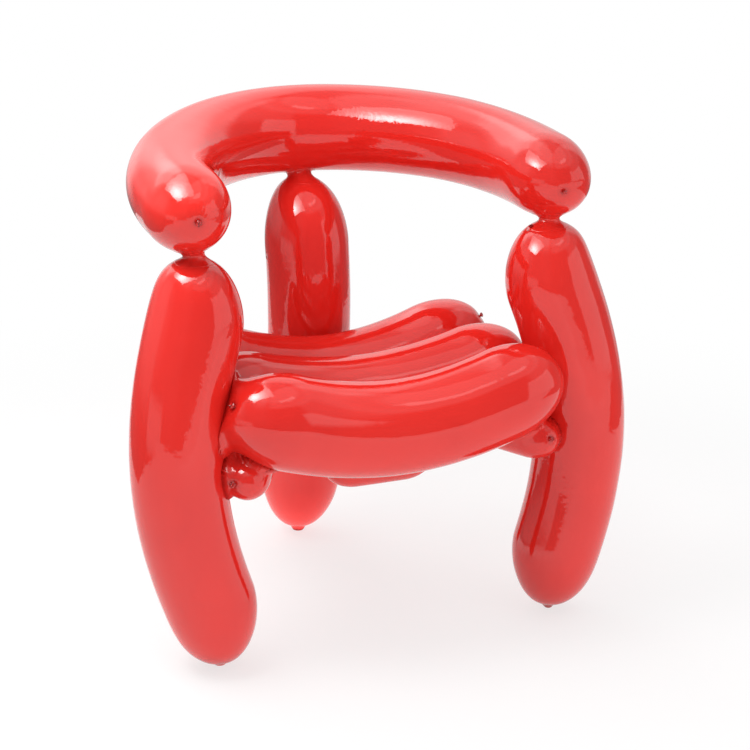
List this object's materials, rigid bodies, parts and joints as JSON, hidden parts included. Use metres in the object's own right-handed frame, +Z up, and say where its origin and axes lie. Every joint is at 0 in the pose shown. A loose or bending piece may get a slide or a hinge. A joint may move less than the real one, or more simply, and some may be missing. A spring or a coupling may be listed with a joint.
{
  "type": "lounge chair",
  "caption": "Glossy fibreglass lounge chair of bladder-shaped bodies: a horseshoe arm rail on legs joined at pinched necks, over a saddle-shaped seat of long bodies side by side.",
  "frame": {"origin": "on the floor, under the middle of the chair's bounding box", "axes": "+Z up, the front faces -Y, +X to the right of someone who faces the front"},
  "size_m": [0.7352, 0.5758, 0.7194],
  "materials": {
    "arm_rail": "high gloss red gelcoat",
    "left_leg": "high gloss red gelcoat",
    "right_leg": "high gloss red gelcoat",
    "rear_leg": "high gloss red gelcoat",
    "seat_front": "high gloss red gelcoat",
    "seat_middle": "high gloss red gelcoat",
    "seat_rear": "high gloss red gelcoat",
    "left_support": "high gloss red gelcoat",
    "right_support": "high gloss red gelcoat",
    "centre_support": "high gloss red gelcoat",
    "left_collar": "glossy red resin",
    "right_collar": "glossy red resin",
    "rear_collar": "glossy red resin",
    "left_neck_stud": "plain steel",
    "right_neck_stud": "plain steel",
    "rear_neck_stud": "plain steel",
    "front_middle_left_dowel": "plain steel",
    "front_middle_right_dowel": "plain steel",
    "middle_rear_left_dowel": "plain steel",
    "middle_rear_right_dowel": "plain steel",
    "left_leg_dowel": "plain steel",
    "right_leg_dowel": "plain steel",
    "rear_leg_dowel": "plain steel",
    "left_support_dowel": "plain steel",
    "right_support_dowel": "plain steel",
    "centre_support_dowel": "plain steel",
    "rail_left_lip": "dark red resin over a tied mouth",
    "rail_right_lip": "dark red resin over a tied mouth",
    "right_leg_lip": "dark red resin over a tied mouth",
    "seat_front_lip": "dark red resin over a tied mouth",
    "seat_rear_lip": "dark red resin over a tied mouth",
    "left_support_lip": "dark red resin over a tied mouth",
    "right_support_lip": "dark red resin over a tied mouth"
  },
  "bodies": {
    "root": {"arm_rail": "arm_rail", "left_leg": "left_leg", "right_leg": "right_leg", "rear_leg": "rear_leg", "seat_front": "seat_front", "seat_middle": "seat_middle", "seat_rear": "seat_rear", "left_support": "left_support", "right_support": "right_support", "centre_support": "centre_support", "left_collar": "left_collar", "right_collar": "right_collar", "rear_collar": "rear_collar", "left_neck_stud": "left_neck_stud", "right_neck_stud": "right_neck_stud", "rear_neck_stud": "rear_neck_stud", "front_middle_left_dowel": "front_middle_left_dowel", "front_middle_right_dowel": "front_middle_right_dowel", "middle_rear_left_dowel": "middle_rear_left_dowel", "middle_rear_right_dowel": "middle_rear_right_dowel", "left_leg_dowel": "left_leg_dowel", "right_leg_dowel": "right_leg_dowel", "rear_leg_dowel": "rear_leg_dowel", "left_support_dowel": "left_support_dowel", "right_support_dowel": "right_support_dowel", "centre_support_dowel": "centre_support_dowel", "rail_left_lip": "rail_left_lip", "rail_right_lip": "rail_right_lip", "right_leg_lip": "right_leg_lip", "seat_front_lip": "seat_front_lip", "seat_rear_lip": "seat_rear_lip", "left_support_lip": "left_support_lip", "right_support_lip": "right_support_lip"}
  },
  "joints": []
}
